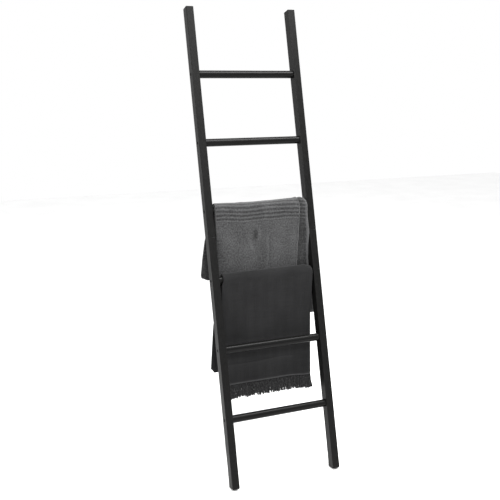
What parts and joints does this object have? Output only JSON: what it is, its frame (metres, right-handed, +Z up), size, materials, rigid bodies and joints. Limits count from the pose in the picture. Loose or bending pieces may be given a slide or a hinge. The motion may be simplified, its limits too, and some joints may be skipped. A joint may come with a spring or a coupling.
{
  "type": "blanket ladder with towel and throw",
  "caption": "Black wooden blanket ladder that leans on a wall, with a folded grey bath towel and a folded charcoal throw with a fringed hem hanging over its rungs.",
  "frame": {"origin": "on the floor, under the middle of the leaning ladder's box", "axes": "+Z up, the long way of the ladder; +X across the rungs, to the right as seen from the room; +Y towards the wall that the ladder leans on"},
  "size_m": [0.445, 0.5078, 1.7482],
  "materials": {
    "black_paint": "satin black paint over straight-grained wood",
    "dark_steel": "blackened steel screws, satin",
    "zinc_steel": "bright zinc plate, hidden in the rails",
    "rubber": "matt black rubber",
    "terry": "mid grey looped terry with flat woven border lines",
    "throw_weave": "charcoal plain weave, matt",
    "fringe_yarn": "charcoal twisted yarn"
  },
  "bodies": {
    "ladder": {"rail_left_lower": "black_paint", "rail_left_upper": "black_paint", "rail_right_lower": "black_paint", "rail_right_upper": "black_paint", "rung_1": "black_paint", "rung_2": "black_paint", "rung_3": "black_paint", "rung_4": "black_paint", "rung_5": "black_paint", "rung_6": "black_paint", "rung_1_screw_left": "dark_steel", "rung_1_screw_right": "dark_steel", "rung_2_screw_left": "dark_steel", "rung_2_screw_right": "dark_steel", "rung_3_screw_left": "dark_steel", "rung_3_screw_right": "dark_steel", "rung_4_screw_left": "dark_steel", "rung_4_screw_right": "dark_steel", "rung_5_screw_left": "dark_steel", "rung_5_screw_right": "dark_steel", "rung_6_screw_left": "dark_steel", "rung_6_screw_right": "dark_steel", "rail_left_stud": "zinc_steel", "rail_right_stud": "zinc_steel", "rail_left_lower_insert": "zinc_steel", "rail_left_upper_insert": "zinc_steel", "rail_right_lower_insert": "zinc_steel", "rail_right_upper_insert": "zinc_steel", "foot_pad_left": "rubber", "foot_pad_right": "rubber"},
    "towel": {"towel": "terry"},
    "throw": {"throw": "throw_weave", "throw_fringe": "fringe_yarn"}
  },
  "joints": [
    {"name": "towel_lift", "type": "slide", "parent": "ladder", "child": "towel", "axis": [0, 0, 1], "range_m": [0, 0.3]},
    {"name": "throw_lift", "type": "slide", "parent": "ladder", "child": "throw", "axis": [0, 0, 1], "range_m": [0, 0.4]}
  ]
}
